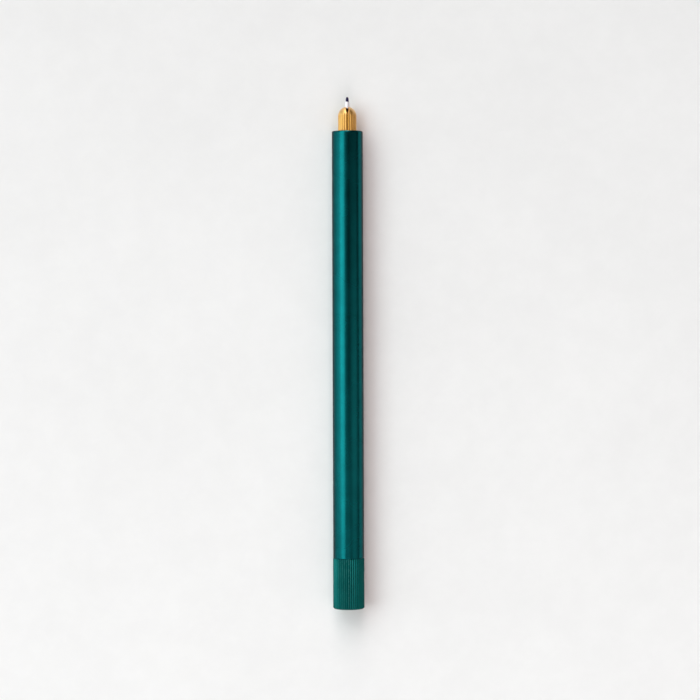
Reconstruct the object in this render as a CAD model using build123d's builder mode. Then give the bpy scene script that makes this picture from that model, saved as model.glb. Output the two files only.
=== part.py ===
"""A twist-lock lead holder: a slim metal pencil whose collet grips a 0.9 mm lead.

Turning the knurled knob moves a nut along the thread of the draw tube. The tube pulls three
spring jaws back into the cone of their seat, where they close on the lead, or pushes them out
of it, where they open. The pencil lies on the ground along Y with its tip towards +Y.
Millimetres throughout.
"""
import math
import os

from build123d import *

# Lengths that show, from the knob's rear face to the tip of the lead
knob_length = 14.7
barrel_length = 124.0
head_length = 7.0
sleeve_length = 1.55
lead_point_length = 1.4

# Clearances
seat_gap = 0.02  # round pieces fixed in one another, per side
running_gap = 0.05  # round pieces that turn or slide in one another, per side
end_gap = 0.05  # faces that turn or slide past each other

# Lead, and the spare leads that lie side by side in the draw tube
lead_radius = 0.45
lead_tip_radius = 0.2
lead_queue_gap = 4.5
spare_length = 60.0
spare_count = 3
spare_offset = 0.35
store_end_gap = 2.0

# Sleeve that guides the lead where it leaves the jaws
sleeve_clearance = 0.025
sleeve_tip_wall = 0.125
sleeve_flare = 0.18
sleeve_collar_step = 0.72
sleeve_collar_length = 0.9
sleeve_tail_length = 0.8

# Draw tube, its collar and its spring
draw_tube_wall = 0.7
collar_step = 1.4
collar_length = 2.5
spring_wire_radius = 0.2
spring_length = 12.0
spring_turns = 8

# Knob, its nut, its clip and its drag ring
knob_step = 0.05
ridge_count = 44
ridge_depth = 0.22
knob_edge = 0.3
spigot_wall = 0.6
spigot_play = 0.2
spigot_length = 7.65
nut_wall = 0.95
nut_length = 6.5
nut_depth = 2.0
thread_play = 0.03
thread_engagement = 5.5
clip_groove_depth = 0.3
clip_thickness = 0.5
clip_step = 0.5
clip_mouth = 3.0
drag_groove_depth = 0.4
drag_groove_width = 0.5
drag_groove_place = 2.8

# End plug
plug_depth = 5.0
plug_length = 4.2
gasket_length = 0.7
gasket_width = 0.85
plug_step = 0.5
plug_slot_width = 1.0
plug_slot_depth = 1.0

# Barrel and its bushes
barrel_wall = 1.0
mouth_edge = 0.35
seam_edge = 0.1
rear_bush_wall = 0.63
rear_bush_length = 5.6
washer_thickness = 0.4
washer_width = 0.5
guide_place = 17.5
guide_length = 8.0

# Collet: its seat, shank and jaws
jaw_count = 3
flutes_per_jaw = 7
flute_ridge_radius = 0.45
flute_depth = 0.2
slit_width = 0.3
slit_mouth_width = 0.75
slit_mouth_length = 1.7
seat_length = 8.0
flange_step = 0.5
flange_thickness = 0.8
cone_angle = 12.0
cone_rise = 0.5
cone_gap = 0.03
jaw_lip = 1.8
groove_play = 0.1
groove_clearance = 0.15
grip_length = 5.0
grip_gap = 0.02
finger_length = 16.0
finger_relief = 0.45
finger_wall = 0.6
shank_step = 0.05
shank_pass = 0.15
shank_length = 11.0
shank_tail_length = 5.0
shank_bore_step = 0.3

# Key pin that keeps the shank from turning, and how far the shank slides on it
pin_radius = 0.5
key_depth = 0.6
key_play = 0.1
draw_travel = 1.2

# Radii that follow, from the leads outwards
sleeve_bore_radius = lead_radius + sleeve_clearance
sleeve_tip_radius = sleeve_bore_radius + sleeve_tip_wall
sleeve_root_radius = sleeve_tip_radius + sleeve_flare
sleeve_collar_radius = sleeve_root_radius + sleeve_collar_step
spare_circle = lead_radius + spare_offset
store_radius = spare_circle + lead_radius + running_gap
draw_tube_radius = store_radius + draw_tube_wall
spigot_bore_radius = draw_tube_radius + spigot_play
spigot_radius = spigot_bore_radius + spigot_wall
rear_bush_bore_radius = spigot_radius + running_gap
bush_radius = rear_bush_bore_radius + rear_bush_wall
barrel_bore_radius = bush_radius + seat_gap
barrel_radius = barrel_bore_radius + barrel_wall
knob_radius = barrel_radius + knob_step
collar_radius = draw_tube_radius + collar_step
nut_bore_radius = draw_tube_radius + thread_play
nut_radius = nut_bore_radius + nut_wall
clip_groove_radius = spigot_radius - clip_groove_depth
drag_groove_radius = spigot_radius - drag_groove_depth
drag_ring_radius = (rear_bush_bore_radius - drag_groove_radius) / 2 - seat_gap
plug_bore_radius = nut_radius + seat_gap + plug_step
plug_radius = plug_bore_radius - running_gap
flange_radius = barrel_bore_radius + flange_step
shank_radius = draw_tube_radius + shank_step
shank_bore_radius = lead_radius + shank_bore_step
pin_foot_radius = shank_radius - key_depth + key_play
pin_top_radius = math.sqrt(bush_radius**2 - pin_radius**2)
seat_bore_radius = shank_radius + shank_pass
seat_mouth_radius = seat_bore_radius + cone_rise
head_radius = seat_mouth_radius - cone_gap
finger_radius = seat_bore_radius - finger_relief
finger_bore_radius = finger_radius - finger_wall
grip_radius = lead_radius + grip_gap
sleeve_hole_radius = sleeve_root_radius + running_gap
groove_radius = sleeve_collar_radius + groove_clearance

# Places along the pencil, with the middle of its length over the origin
total_length = knob_length + barrel_length + head_length + sleeve_length + lead_point_length
rear_y = -total_length / 2
seam_y = rear_y + knob_length
mouth_y = seam_y + barrel_length
head_tip_y = mouth_y + head_length
sleeve_tip_y = head_tip_y + sleeve_length
lead_tip_y = sleeve_tip_y + lead_point_length
cone_length = cone_rise / math.tan(math.radians(cone_angle))
groove_front_y = head_tip_y - jaw_lip
groove_length = sleeve_collar_length + 2 * groove_play
groove_rear_y = groove_front_y - groove_length
grip_front_y = groove_rear_y - sleeve_tail_length
grip_rear_y = grip_front_y - grip_length
finger_root_y = mouth_y - finger_length
shank_front_y = finger_root_y - end_gap
shank_shoulder_y = shank_front_y - shank_length
guide_front_y = mouth_y - guide_place
pin_y = guide_front_y - guide_length / 2
knob_front_y = seam_y - end_gap
spigot_front_y = seam_y + spigot_length
rear_bush_front_y = seam_y + washer_thickness + rear_bush_length
clip_groove_y = rear_bush_front_y + end_gap
clip_groove_width = clip_thickness + 2 * end_gap
drag_groove_y = seam_y + drag_groove_place
drag_ring_y = drag_groove_y + drag_groove_width / 2
spring_rear_y = spigot_front_y + end_gap
collar_rear_y = spring_rear_y + spring_length + end_gap
nut_front_y = knob_front_y - nut_depth
tube_rear_y = nut_front_y - thread_engagement
plug_seat_y = rear_y + plug_depth
spare_rear_y = tube_rear_y + store_end_gap
lead_rear_y = spare_rear_y + spare_length + lead_queue_gap
axis_height = knob_radius

pencil_axis = Axis((0, 0, axis_height), (0, 1, 0))
# Half section through the axis: its x is the place along the pencil, its y the radius
half_section = Plane(origin=(0, 0, axis_height), x_dir=(0, 1, 0), z_dir=(1, 0, 0))


def across(place, turned=0):
    """Plane across the pencil at a place along it; its x points up, or turned from there."""
    angle = math.radians(turned)
    up = (math.sin(angle), 0, math.cos(angle))
    return Plane(origin=(0, place, axis_height), x_dir=up, z_dir=(0, 1, 0))


def facing(place, turned=0):
    """Plane through the axis at a place along it, whose normal points up, or turned from there."""
    angle = math.radians(turned)
    up = (math.sin(angle), 0, math.cos(angle))
    return Plane(origin=(0, place, axis_height), x_dir=(math.cos(angle), 0, -math.sin(angle)), z_dir=up)


def ring_profile(inner, outer):
    """A ring in the open sketch."""
    Circle(outer)
    Circle(inner, mode=Mode.SUBTRACT)


os.makedirs("parts", exist_ok=True)

# Barrel: a tube with a shallow counterbore at its mouth for the flange of the seat
with BuildPart() as barrel:
    with BuildSketch(across(seam_y)):
        ring_profile(barrel_bore_radius, barrel_radius)
    extrude(amount=barrel_length)
    outer_rims = barrel.edges().filter_by(GeomType.CIRCLE).group_by(SortBy.RADIUS)[-1].sort_by(Axis.Y)
    fillet(outer_rims[-1], mouth_edge)
    chamfer(outer_rims[0], seam_edge)
    with BuildSketch(across(mouth_y)):
        Circle(flange_radius + seat_gap)
    extrude(amount=-flange_thickness, mode=Mode.SUBTRACT)
barrel.part.label = "barrel"
export_step(barrel.part, "parts/barrel.step")

# Collet seat: a flanged bush, pressed in from the front, with the cone that closes the jaws
with BuildPart() as collet_seat:
    with BuildSketch(half_section):
        with BuildLine():
            Polyline(
                (mouth_y, seat_mouth_radius),
                (mouth_y, flange_radius),
                (mouth_y - flange_thickness, flange_radius),
                (mouth_y - flange_thickness, bush_radius),
                (mouth_y - seat_length, bush_radius),
                (mouth_y - seat_length, seat_bore_radius),
                (mouth_y - cone_length, seat_bore_radius),
                close=True,
            )
        make_face()
    revolve(axis=pencil_axis)
collet_seat.part.label = "collet_seat"
export_step(collet_seat.part, "parts/collet_seat.step")

# Guide bush: carries the shank, with a hole through its wall for the key pin
with BuildPart() as guide_bush:
    with BuildSketch(across(guide_front_y)):
        ring_profile(shank_radius + running_gap, bush_radius)
    extrude(amount=-guide_length)
    with BuildSketch(facing(pin_y)):
        Circle(pin_radius + seat_gap)
    extrude(amount=bush_radius, mode=Mode.SUBTRACT)
guide_bush.part.label = "guide_bush"
export_step(guide_bush.part, "parts/guide_bush.step")

# Key pin: held in by the barrel, its inner end stands in the slot of the shank
with BuildPart() as anti_rotation_pin:
    with BuildSketch(facing(pin_y).offset(pin_foot_radius)):
        Circle(pin_radius)
    extrude(amount=pin_top_radius - pin_foot_radius)
anti_rotation_pin.part.label = "anti_rotation_pin"
export_step(anti_rotation_pin.part, "parts/anti_rotation_pin.step")

# Rear bush: the knob's bearing, set in by the thickness of the thrust washer
with BuildPart() as rear_bush:
    with BuildSketch(across(rear_bush_front_y)):
        ring_profile(rear_bush_bore_radius, bush_radius)
    extrude(amount=-rear_bush_length)
rear_bush.part.label = "rear_bush"
export_step(rear_bush.part, "parts/rear_bush.step")

# Thrust washer: between the rear bush and the face of the knob
with BuildPart() as thrust_washer:
    with BuildSketch(across(seam_y)):
        ring_profile(bush_radius - washer_width, bush_radius)
    extrude(amount=washer_thickness)
thrust_washer.part.label = "thrust_washer"
export_step(thrust_washer.part, "parts/thrust_washer.step")

# Jaws: one fluted, slit collet head and its spring fingers, a third for each jaw
sector = 360 / jaw_count
flute_count = jaw_count * flutes_per_jaw
sector_apex = slit_width / 2 / math.sin(math.radians(sector / 2))
sector_reach = 2 * head_radius
sector_spread = sector_reach * math.tan(math.radians(sector / 2))
rim_angle = math.degrees(math.asin(sleeve_hole_radius / head_radius))
dome_centre_y = head_tip_y - head_radius * math.cos(math.radians(rim_angle))
cone_end_radius = seat_bore_radius - cone_gap
neck_y = mouth_y - cone_length - (cone_end_radius - finger_radius)
relief_y = grip_rear_y - (finger_bore_radius - grip_radius)
for number in range(1, jaw_count + 1):
    middle = (number - 0.5) * sector
    with BuildPart() as jaw:
        with BuildSketch(half_section):
            with BuildLine():
                Polyline(
                    (dome_centre_y, head_radius),
                    (mouth_y, head_radius),
                    (mouth_y - cone_length, cone_end_radius),
                    (neck_y, finger_radius),
                    (finger_root_y, finger_radius),
                    (finger_root_y, finger_bore_radius),
                    (relief_y, finger_bore_radius),
                    (grip_rear_y, grip_radius),
                    (grip_front_y, grip_radius),
                    (grip_front_y, sleeve_hole_radius),
                    (groove_rear_y, sleeve_hole_radius),
                    (groove_rear_y, groove_radius),
                    (groove_front_y, groove_radius),
                    (groove_front_y, sleeve_hole_radius),
                    (head_tip_y, sleeve_hole_radius),
                )
                CenterArc((dome_centre_y, 0), head_radius, rim_angle, 90 - rim_angle)
            make_face()
        revolve(axis=pencil_axis)
        with BuildSketch(across(head_tip_y)):
            ring_profile(head_radius - flute_depth, head_radius + flute_depth)
            with PolarLocations(head_radius - flute_ridge_radius, flute_count, start_angle=180 / flute_count):
                Circle(flute_ridge_radius, mode=Mode.SUBTRACT)
        extrude(amount=-head_length, mode=Mode.SUBTRACT)
        with BuildSketch(across(finger_root_y, middle)):
            Polygon(
                (sector_apex, 0),
                (sector_apex + sector_reach, -sector_spread),
                (sector_apex + sector_reach, sector_spread),
                align=None,
            )
        extrude(amount=head_tip_y - finger_root_y, mode=Mode.INTERSECT)
        for side in (-1, 1):
            with BuildSketch(facing(head_tip_y, middle + side * sector / 2)):
                with BuildLine():
                    Polyline(
                        (-slit_mouth_width / 2, 0),
                        (slit_mouth_width / 2, 0),
                        (slit_width / 2, -slit_mouth_length),
                        (-slit_width / 2, -slit_mouth_length),
                        close=True,
                    )
                make_face()
            extrude(amount=head_radius, mode=Mode.SUBTRACT)
    jaw.part.label = f"jaw_{number}"
    export_step(jaw.part, f"parts/jaw_{number}.step")

# Collet shank: behind the fingers, slotted for the key pin, its tail screwed in the draw tube
with BuildPart() as collet_shank:
    with BuildSketch(half_section):
        with BuildLine():
            Polyline(
                (shank_front_y, shank_bore_radius),
                (shank_front_y, shank_radius),
                (shank_shoulder_y, shank_radius),
                (shank_shoulder_y, store_radius - seat_gap),
                (shank_shoulder_y - shank_tail_length, store_radius - seat_gap),
                (shank_shoulder_y - shank_tail_length, shank_bore_radius),
                close=True,
            )
        make_face()
    revolve(axis=pencil_axis)
    slot_front_y = pin_y + pin_radius + key_play
    slot_rear_y = pin_y - pin_radius - key_play - draw_travel
    slot_middle = facing((slot_front_y + slot_rear_y) / 2).offset(shank_radius - key_depth)
    with BuildSketch(slot_middle):
        Rectangle(2 * (pin_radius + running_gap), slot_front_y - slot_rear_y)
    extrude(amount=shank_radius, mode=Mode.SUBTRACT)
collet_shank.part.label = "collet_shank"
export_step(collet_shank.part, "parts/collet_shank.step")

# Draw tube: its rear end runs in the nut, and its bore stores the spare leads
with BuildPart() as draw_tube:
    with BuildSketch(across(shank_shoulder_y)):
        ring_profile(store_radius, draw_tube_radius)
    extrude(amount=tube_rear_y - shank_shoulder_y)
draw_tube.part.label = "draw_tube"
export_step(draw_tube.part, "parts/draw_tube.step")

# Spring collar: fixed on the draw tube, it also steadies the tube in the barrel
with BuildPart() as spring_collar:
    with BuildSketch(across(collar_rear_y)):
        ring_profile(draw_tube_radius + seat_gap, collar_radius)
    extrude(amount=collar_length)
spring_collar.part.label = "spring_collar"
export_step(spring_collar.part, "parts/spring_collar.step")

# Return spring: between the end of the knob's spigot and the collar
with BuildPart() as return_spring:
    coil_radius = (spigot_bore_radius + spigot_radius) / 2
    coil_height = spring_length - 2 * spring_wire_radius
    with BuildLine() as coil:
        Helix(
            pitch=coil_height / spring_turns,
            height=coil_height,
            radius=coil_radius,
            center=(0, spring_rear_y + spring_wire_radius, axis_height),
            direction=(0, 1, 0),
        )
    with BuildSketch(Plane(origin=coil.line @ 0, z_dir=coil.line % 0)):
        Circle(spring_wire_radius)
    sweep(path=coil.line)
return_spring.part.label = "return_spring"
export_step(return_spring.part, "parts/return_spring.step")

# Lead sleeve: a turned steel nozzle, trapped in the jaws by its collar
with BuildPart() as lead_sleeve:
    collar_front_y = groove_front_y - groove_play
    sleeve_rear_y = collar_front_y - sleeve_collar_length - sleeve_tail_length
    with BuildSketch(half_section):
        with BuildLine():
            Polyline(
                (sleeve_tip_y, sleeve_bore_radius),
                (sleeve_tip_y, sleeve_tip_radius),
                (head_tip_y, sleeve_root_radius),
                (collar_front_y, sleeve_root_radius),
                (collar_front_y, sleeve_collar_radius),
                (collar_front_y - sleeve_collar_length, sleeve_collar_radius),
                (collar_front_y - sleeve_collar_length, sleeve_root_radius),
                (sleeve_rear_y, sleeve_root_radius),
                (sleeve_rear_y, sleeve_bore_radius),
                close=True,
            )
        make_face()
    revolve(axis=pencil_axis)
lead_sleeve.part.label = "lead_sleeve"
export_step(lead_sleeve.part, "parts/lead_sleeve.step")

# Spare leads: they lie side by side in the draw tube behind the lead in use
with BuildPart() as spare_leads:
    with BuildSketch(across(spare_rear_y)):
        with PolarLocations(spare_circle, spare_count):
            Circle(lead_radius)
    extrude(amount=spare_length)
spare_leads.part.label = "spare_leads"
export_step(spare_leads.part, "parts/spare_leads.step")

# Lead: a rod with an ogive point and a small rounded tip
with BuildPart() as lead:
    with BuildSketch(half_section):
        with BuildLine():
            nose_y = lead_tip_y - lead_tip_radius
            shoulder_y = sleeve_tip_y + lead_point_length / 4
            tip_round = CenterArc((nose_y, 0), lead_tip_radius, 0, 60)
            ogive = TangentArc((shoulder_y, lead_radius), tip_round @ 1, tangent=(1, 0))
            Polyline(
                ogive @ 0,
                (lead_rear_y, lead_radius),
                (lead_rear_y, 0),
                (lead_tip_y, 0),
            )
        make_face()
    revolve(axis=pencil_axis)
lead.part.label = "lead"
export_step(lead.part, "parts/lead.step")

# Knob: a knurled shell with a spigot that turns in the rear bush
with BuildPart() as knob:
    with BuildSketch(half_section):
        with BuildLine():
            Polyline(
                (rear_y, plug_bore_radius),
                (rear_y, knob_radius - knob_edge),
                (rear_y + knob_edge, knob_radius),
                (knob_front_y - seam_edge, knob_radius),
                (knob_front_y, knob_radius - seam_edge),
                (knob_front_y, spigot_radius),
                (drag_groove_y, spigot_radius),
                (drag_groove_y, drag_groove_radius),
                (drag_groove_y + drag_groove_width, drag_groove_radius),
                (drag_groove_y + drag_groove_width, spigot_radius),
                (clip_groove_y, spigot_radius),
                (clip_groove_y, clip_groove_radius),
                (clip_groove_y + clip_groove_width, clip_groove_radius),
                (clip_groove_y + clip_groove_width, spigot_radius),
                (spigot_front_y, spigot_radius),
                (spigot_front_y, spigot_bore_radius),
                (nut_front_y, spigot_bore_radius),
                (nut_front_y, nut_radius + seat_gap),
                (plug_seat_y, nut_radius + seat_gap),
                (plug_seat_y, plug_bore_radius),
                close=True,
            )
        make_face()
    revolve(axis=pencil_axis)
    ridge_pitch = 2 * math.pi * knob_radius / ridge_count
    with BuildSketch(across(rear_y)):
        with PolarLocations(knob_radius, ridge_count, start_angle=180 / ridge_count):
            Polygon(
                (-ridge_depth, 0),
                (ridge_depth / 4, -ridge_pitch / 2),
                (ridge_depth / 4, ridge_pitch / 2),
                align=None,
            )
    extrude(amount=knob_length, mode=Mode.SUBTRACT)
knob.part.label = "knob"
export_step(knob.part, "parts/knob.step")

# Knob nut: pressed into the knob against its shoulder, threaded on the draw tube
with BuildPart() as knob_nut:
    with BuildSketch(across(nut_front_y)):
        ring_profile(nut_bore_radius, nut_radius)
    extrude(amount=-nut_length)
knob_nut.part.label = "knob_nut"
export_step(knob_nut.part, "parts/knob_nut.step")

# Retaining ring: an open clip in the groove of the spigot, in front of the rear bush
with BuildPart() as retaining_ring:
    with BuildSketch(across(clip_groove_y + end_gap)):
        ring_profile(clip_groove_radius + seat_gap, spigot_radius + clip_step)
        with Locations((-spigot_radius, 0)):
            Rectangle(spigot_radius, clip_mouth, mode=Mode.SUBTRACT)
    extrude(amount=clip_thickness)
retaining_ring.part.label = "retaining_ring"
export_step(retaining_ring.part, "parts/retaining_ring.step")

# Drag ring: an O-ring in the middle groove of the spigot, which stops the knob from drifting
with BuildPart() as friction_o_ring:
    with BuildSketch(half_section):
        with Locations((drag_ring_y, drag_groove_radius + seat_gap + drag_ring_radius)):
            Circle(drag_ring_radius)
    revolve(axis=pencil_axis)
friction_o_ring.part.label = "friction_o_ring"
export_step(friction_o_ring.part, "parts/friction_o_ring.step")

# End plug: closes the lead store, flush with the knob, with a slot for a coin
with BuildPart() as end_plug:
    with BuildSketch(across(rear_y)):
        Circle(plug_radius)
    extrude(amount=plug_length)
    with BuildSketch(across(rear_y)):
        Rectangle(plug_slot_width, 2 * plug_radius)
    extrude(amount=plug_slot_depth, mode=Mode.SUBTRACT)
end_plug.part.label = "end_plug"
export_step(end_plug.part, "parts/end_plug.step")

# Plug gasket: a flat ring between the plug and the shoulder around the nut
with BuildPart() as plug_gasket:
    with BuildSketch(across(rear_y + plug_length)):
        ring_profile(plug_radius - gasket_width, plug_radius)
    extrude(amount=gasket_length)
plug_gasket.part.label = "plug_gasket"
export_step(plug_gasket.part, "parts/plug_gasket.step")
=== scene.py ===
import math

import bmesh
import bpy
from mathutils import Matrix, Vector
from mathutils.geometry import tessellate_polygon


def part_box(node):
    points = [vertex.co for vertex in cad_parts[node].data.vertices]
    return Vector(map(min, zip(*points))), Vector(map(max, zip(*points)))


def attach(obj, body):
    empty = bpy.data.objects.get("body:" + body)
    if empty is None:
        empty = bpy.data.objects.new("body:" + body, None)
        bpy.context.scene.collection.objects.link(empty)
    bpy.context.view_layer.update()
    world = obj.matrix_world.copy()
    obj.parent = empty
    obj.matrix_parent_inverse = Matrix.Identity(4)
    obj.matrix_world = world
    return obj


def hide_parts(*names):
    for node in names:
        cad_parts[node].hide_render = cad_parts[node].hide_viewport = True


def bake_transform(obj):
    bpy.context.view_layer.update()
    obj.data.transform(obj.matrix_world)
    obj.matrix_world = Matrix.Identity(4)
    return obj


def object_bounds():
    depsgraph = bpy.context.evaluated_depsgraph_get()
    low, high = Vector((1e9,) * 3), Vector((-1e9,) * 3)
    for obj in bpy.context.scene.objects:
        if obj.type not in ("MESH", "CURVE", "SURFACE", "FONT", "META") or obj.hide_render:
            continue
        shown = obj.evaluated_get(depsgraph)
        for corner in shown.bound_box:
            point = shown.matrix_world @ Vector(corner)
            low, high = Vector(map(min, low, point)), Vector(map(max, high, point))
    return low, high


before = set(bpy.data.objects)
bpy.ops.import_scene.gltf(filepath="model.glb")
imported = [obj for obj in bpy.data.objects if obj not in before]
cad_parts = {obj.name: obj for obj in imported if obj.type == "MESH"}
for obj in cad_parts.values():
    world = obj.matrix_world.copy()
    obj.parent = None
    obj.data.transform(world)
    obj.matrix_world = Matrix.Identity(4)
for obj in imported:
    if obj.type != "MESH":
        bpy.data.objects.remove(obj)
cad_lowest, cad_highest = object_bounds()

# ---------------------------------------------------------------- Camera
# A long lens hangs almost plumb over the pencil, a little nearer to its tip than to its knob.
# It is turned by a hair, so that the pencil leans to the left in the frame.
MM = 0.001
middle = (cad_lowest + cad_highest) / 2
camera_over = Vector((0.58, 13.57, 685.0)) * MM
camera_aim = Vector((0.58, 0.9, 0.0)) * MM
camera_turn = math.radians(0.19)

camera_data = bpy.data.cameras.new("camera")
camera_data.lens = 121.2
camera_data.sensor_width = 36.0
camera = bpy.data.objects.new("camera", camera_data)
bpy.context.scene.collection.objects.link(camera)
backward = (camera_over - camera_aim).normalized()
rightward = Vector((math.sin(camera_turn), math.cos(camera_turn), 0)).cross(backward).normalized()
upward = backward.cross(rightward)
camera.matrix_world = (
    Matrix.Translation(middle + camera_over) @ Matrix((rightward, upward, backward)).transposed().to_4x4()
)
bpy.context.scene.camera = camera
bpy.context.scene.view_settings.view_transform = "Standard"

# ---------------------------------------------------------------- Table
# A wide pale table top, skimmed with fine plaster, on which the pencil lies.
# It isn't part of the pencil: it takes its shadow and shines back into its flanks.


def add_node(tree, kind, inputs=None, **settings):
    """A shader node; each of its inputs is a plain value or another node's output."""
    node = tree.nodes.new(kind)
    for name, value in settings.items():
        setattr(node, name, value)
    for name, value in (inputs or {}).items():
        socket = node.inputs[name]
        if isinstance(value, bpy.types.NodeSocket):
            tree.links.new(value, socket)
        else:
            socket.default_value = value
    return node


def reckon(tree, operation, *values):
    """The outcome of one sum in the shader."""
    return add_node(tree, "ShaderNodeMath", dict(enumerate(values)), operation=operation).outputs[0]


def times(tree, first, second):
    """The product of two values in the shader."""
    return reckon(tree, "MULTIPLY", first, second)


def spread(tree, value, low, high, to_low=0.0, to_high=1.0, smooth=True):
    """Value from low to high brought to the new range, and held there outside it."""
    inputs = {"Value": value, "From Min": low, "From Max": high, "To Min": to_low, "To Max": to_high}
    kind = "SMOOTHSTEP" if smooth else "LINEAR"
    return add_node(tree, "ShaderNodeMapRange", inputs, interpolation_type=kind).outputs[0]


def blended(tree, share, colour_a, colour_b, how="MIX"):
    """Two colours mixed: colour_a where the share is 0, colour_b where it is 1."""
    node = add_node(tree, "ShaderNodeMix", data_type="RGBA", blend_type=how)
    for socket, value in ((node.inputs[0], share), (node.inputs[6], colour_a), (node.inputs[7], colour_b)):
        if isinstance(value, bpy.types.NodeSocket):
            tree.links.new(value, socket)
        elif isinstance(value, (tuple, list)):
            socket.default_value = (*value[:3], 1.0)
        else:
            socket.default_value = value
    return node.outputs[2]


def noise(tree, where, scale, detail=2.0, roughness=0.5, stretch=None):
    """Even noise from 0 to 1 at so many grains a metre, perhaps drawn out along an axis."""
    if stretch:
        where = add_node(tree, "ShaderNodeMapping", {"Vector": where, "Scale": stretch}).outputs[0]
    inputs = {"Vector": where, "Scale": scale, "Detail": detail, "Roughness": roughness}
    return add_node(tree, "ShaderNodeTexNoise", inputs).outputs["Fac"]


def bare_material(name):
    """A new material: its node tree, its Principled shader, and the piece's own coordinates."""
    material = bpy.data.materials.new(name)
    material.use_nodes = True
    tree = material.node_tree
    where = add_node(tree, "ShaderNodeTexCoord").outputs["Object"]
    return material, tree, tree.nodes["Principled BSDF"], where


def finish_surface(tree, shader, colour=None, roughness=None, height=None, depth=0.0):
    """Joins what changes over the surface to the shader; depth is the relief's real height."""
    if colour is not None:
        tree.links.new(colour, shader.inputs["Base Color"])
    if roughness is not None:
        tree.links.new(roughness, shader.inputs["Roughness"])
    if height is not None:
        bump = add_node(tree, "ShaderNodeBump", {"Height": height, "Strength": 1.0, "Distance": depth})
        tree.links.new(bump.outputs[0], shader.inputs["Normal"])


def make_object(name, mesh, *materials):
    """A mesh put in the scene at the origin, with its materials."""
    for material in materials:
        mesh.materials.append(material)
    made = bpy.data.objects.new(name, mesh)
    bpy.context.scene.collection.objects.link(made)
    return made


table_reach = 3.0
table_cells = 40
table_colour = (0.852, 0.882, 0.865)
trowel_relief = 0.05 * MM
table_mesh = bpy.data.meshes.new("table_top")
table_form = bmesh.new()
bmesh.ops.create_grid(table_form, x_segments=table_cells, y_segments=table_cells, size=table_reach)
table_form.to_mesh(table_mesh)
table_form.free()

plaster, tree, shader, where = bare_material("table_plaster")
cloud_grains = 22.0
trowel_grains = 130.0
clouds = noise(tree, where, cloud_grains, 5.0, 0.62)
trowel = noise(tree, where, trowel_grains, 4.0, 0.7)
cloudy = spread(tree, clouds, 0.3, 0.7, 0.0, 0.6)
paleness = reckon(tree, "ADD", cloudy, spread(tree, trowel, 0.35, 0.7, 0.0, 0.4))
toward_side, toward_tip, _ = add_node(tree, "ShaderNodeSeparateXYZ", {0: where}).outputs
# Painted falloff of light: the table is lighter toward the knob's end and the left, darker toward the tip
# and the right.
painted_light_falloff = times(
    tree,
    spread(tree, toward_tip, -0.1, 0.1, 1.035, 0.955, smooth=False),
    spread(tree, toward_side, -0.1, 0.1, 1.0, 0.975, smooth=False),
)
table_tone = blended(
    tree, paleness, tuple(part * 0.975 for part in table_colour), tuple(part * 1.02 for part in table_colour)
)
table_tone = add_node(
    tree, "ShaderNodeVectorMath", {0: table_tone, "Scale": painted_light_falloff}, operation="SCALE"
).outputs[0]
shader.inputs["Specular IOR Level"].default_value = 0.2
finish_surface(tree, shader, table_tone, spread(tree, trowel, 0.2, 0.8, 0.75, 0.9), trowel, trowel_relief)
table_top = make_object("table_top", table_mesh, plaster)

# ---------------------------------------------------------------- Light
# One large soft box stands to the left, tipped over the pencil, and the room gives the rest.
# The room is dark straight overhead, so that a dark line runs along the top of every round piece.
# Beyond the pencil's two ends its light is narrow, so that the shadows beside the pencil stay slim.


def soft_box(name, place, aim, width, length, radiance, tint):
    """An even panel of light, whose brightness is told as it looks and not in watts."""
    lamp = bpy.data.lights.new(name, "AREA")
    lamp.shape = "RECTANGLE"
    lamp.size = width
    lamp.size_y = length
    lamp.energy = radiance * math.pi * width * length
    lamp.color = tint
    held = bpy.data.objects.new(name, lamp)
    bpy.context.scene.collection.objects.link(held)
    away = (place - aim).normalized()
    side = Vector((0, 1, 0)).cross(away).normalized()
    turn = Matrix((side, away.cross(side), away)).transposed().to_4x4()
    held.matrix_world = Matrix.Translation(place) @ turn


key_lean = math.radians(39.5)
key_distance = 4.0
key_forward = 0.6
key_width = 2.1
key_length = 4.8
key_radiance = 2.35
key_tint = (0.86, 1.0, 1.03)
key_place = Vector((-math.sin(key_lean) * key_distance, key_forward, math.cos(key_lean) * key_distance))
pencil_place = Vector((0, 0, 0))
soft_box("key_soft_box", key_place, pencil_place, key_width, key_length, key_radiance, key_tint)

fill_place = Vector((0.6, -0.6, 0.6))
fill_size = 0.5
fill_radiance = 0.8
soft_box("fill_card", fill_place, pencil_place, fill_size, fill_size, fill_radiance, (1.0, 1.0, 1.0))

room = bpy.data.worlds.new("room")
bpy.context.scene.world = room
room.use_nodes = True
tree = room.node_tree
toward = add_node(tree, "ShaderNodeTexCoord").outputs["Generated"]
across_x, along_y, _ = add_node(tree, "ShaderNodeSeparateXYZ", {0: toward}).outputs
cool_side = (0.98, 1.0, 1.02)
warm_side = (1.3, 0.98, 0.97)


def wall_light(tree, sine, levels):
    """Brightness of the room from a list of (sine of the angle, level)."""
    ramp = add_node(tree, "ShaderNodeValToRGB", {0: sine})
    stops = ramp.color_ramp.elements
    while len(stops) < len(levels):
        stops.new(0.5)
    for stop, (place, level) in zip(stops, levels):
        stop.position = place
        stop.color = (level, level, level, 1.0)
    return ramp.outputs[0]


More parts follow.
